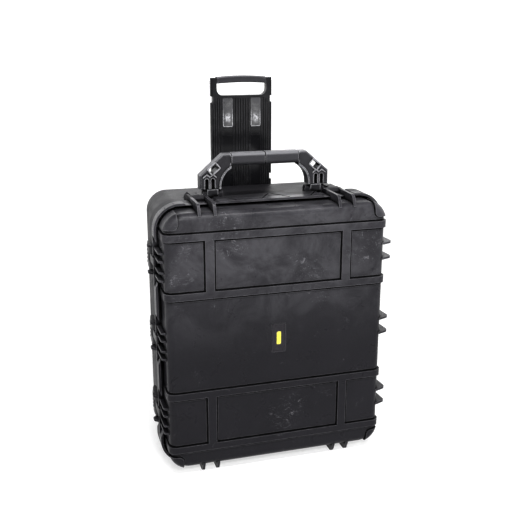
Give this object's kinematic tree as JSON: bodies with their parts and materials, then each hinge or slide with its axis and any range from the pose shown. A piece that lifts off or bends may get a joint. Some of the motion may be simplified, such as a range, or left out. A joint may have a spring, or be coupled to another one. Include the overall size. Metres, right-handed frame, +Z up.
{
  "type": "drone carrying case",
  "caption": "Upright moulded trolley case with a ribbed hinged lid, over-centre latches, folding carry handle, pull-out trolley slab, wheels and pocketed foam.",
  "frame": {"origin": "bottom centre: midway across and front to back, on the floor that the bottom ribs and wheels stand on", "axes": "+Z up, case standing on its bottom edge; the lid's face looks towards -Y; the hinge is on +X and the latches on -X"},
  "size_m": [0.433, 0.262, 0.69],
  "materials": {
    "shell": "fine-grained moulded polypropylene",
    "latch": "satin moulded nylon",
    "handle": "satin moulded nylon",
    "grip": "soft rubbery overmould",
    "trolley": "satin ribbed plastic",
    "seal": "soft neoprene",
    "foam": "closed-cell foam",
    "steel": "stainless",
    "tyre": "polyurethane",
    "hub": "moulded nylon",
    "label": "plain raised plate",
    "inlay": "plain coloured tab"
  },
  "bodies": {
    "base": {"base_shell": "shell", "base_foam": "foam", "foam_bed": "foam", "base_pad": "foam", "trolley_rails": "trolley", "hinge_pins": "steel", "latch_pivot_pins": "steel", "handle_pins": "steel", "trolley_cover": "trolley", "cover_screws": "steel", "trolley_guides": "hub", "wheel_axles": "steel", "valve_body": "latch"},
    "lid": {"lid_shell": "shell", "lid_seal": "seal", "lid_foam": "foam", "label_plate": "label", "label_inlay": "inlay"},
    "handle": {"handle_frame": "handle", "handle_grip": "grip"},
    "trolley": {"trolley_slab": "trolley", "trolley_grip": "handle"},
    "wheel_left": {"wheel_tyre_left": "tyre", "wheel_hub_left": "hub"},
    "wheel_right": {"wheel_tyre_right": "tyre", "wheel_hub_right": "hub"},
    "valve": {"valve_knob": "latch"},
    "lever_top": {"latch_lever_top": "latch", "claw_pin_top": "steel"},
    "claw_top": {"latch_claw_top": "latch"},
    "lever_mid": {"latch_lever_mid": "latch", "claw_pin_mid": "steel"},
    "claw_mid": {"latch_claw_mid": "latch"},
    "lever_low": {"latch_lever_low": "latch", "claw_pin_low": "steel"},
    "claw_low": {"latch_claw_low": "latch"}
  },
  "joints": [
    {"name": "lid_hinge", "type": "hinge", "parent": "base", "child": "lid", "pos_m": [0.211, -0.064, 0.248], "axis": [0, 0, 1], "range_deg": [0, 105]},
    {"name": "handle_fold", "type": "hinge", "parent": "base", "child": "handle", "pos_m": [0, -0.033, 0.494], "axis": [-1, 0, 0], "range_deg": [0, 85]},
    {"name": "trolley_slide", "type": "slide", "parent": "base", "child": "trolley", "axis": [0, 0, 1], "range_m": [-0.205, 0]},
    {"name": "wheel_left_spin", "type": "hinge", "parent": "base", "child": "wheel_left", "pos_m": [-0.166, 0.102, 0.025], "axis": [1, 0, 0], "continuous": true},
    {"name": "wheel_right_spin", "type": "hinge", "parent": "base", "child": "wheel_right", "pos_m": [0.166, 0.102, 0.025], "axis": [1, 0, 0], "continuous": true},
    {"name": "valve_turn", "type": "hinge", "parent": "base", "child": "valve", "pos_m": [0.19525, 0.034, 0.248], "axis": [1, 0, 0], "range_deg": [0, 90]},
    {"name": "latch_top", "type": "hinge", "parent": "base", "child": "lever_top", "pos_m": [-0.203, -0.047, 0.39], "axis": [0, 0, 1], "range_deg": [0, 100]},
    {"name": "claw_swing_top", "type": "hinge", "parent": "lever_top", "child": "claw_top", "pos_m": [-0.2076, -0.039, 0.39], "axis": [0, 0, 1], "range_deg": [-115, 0]},
    {"name": "latch_mid", "type": "hinge", "parent": "base", "child": "lever_mid", "pos_m": [-0.203, -0.047, 0.248], "axis": [0, 0, 1], "range_deg": [0, 100]},
    {"name": "claw_swing_mid", "type": "hinge", "parent": "lever_mid", "child": "claw_mid", "pos_m": [-0.2076, -0.039, 0.248], "axis": [0, 0, 1], "range_deg": [-115, 0]},
    {"name": "latch_low", "type": "hinge", "parent": "base", "child": "lever_low", "pos_m": [-0.203, -0.047, 0.106], "axis": [0, 0, 1], "range_deg": [0, 100]},
    {"name": "claw_swing_low", "type": "hinge", "parent": "lever_low", "child": "claw_low", "pos_m": [-0.2076, -0.039, 0.106], "axis": [0, 0, 1], "range_deg": [-115, 0]}
  ],
  "couplings": [
    {"joint": "claw_swing_top", "follows": "latch_top", "ratio": -1.15},
    {"joint": "claw_swing_mid", "follows": "latch_mid", "ratio": -1.15},
    {"joint": "claw_swing_low", "follows": "latch_low", "ratio": -1.15}
  ]
}
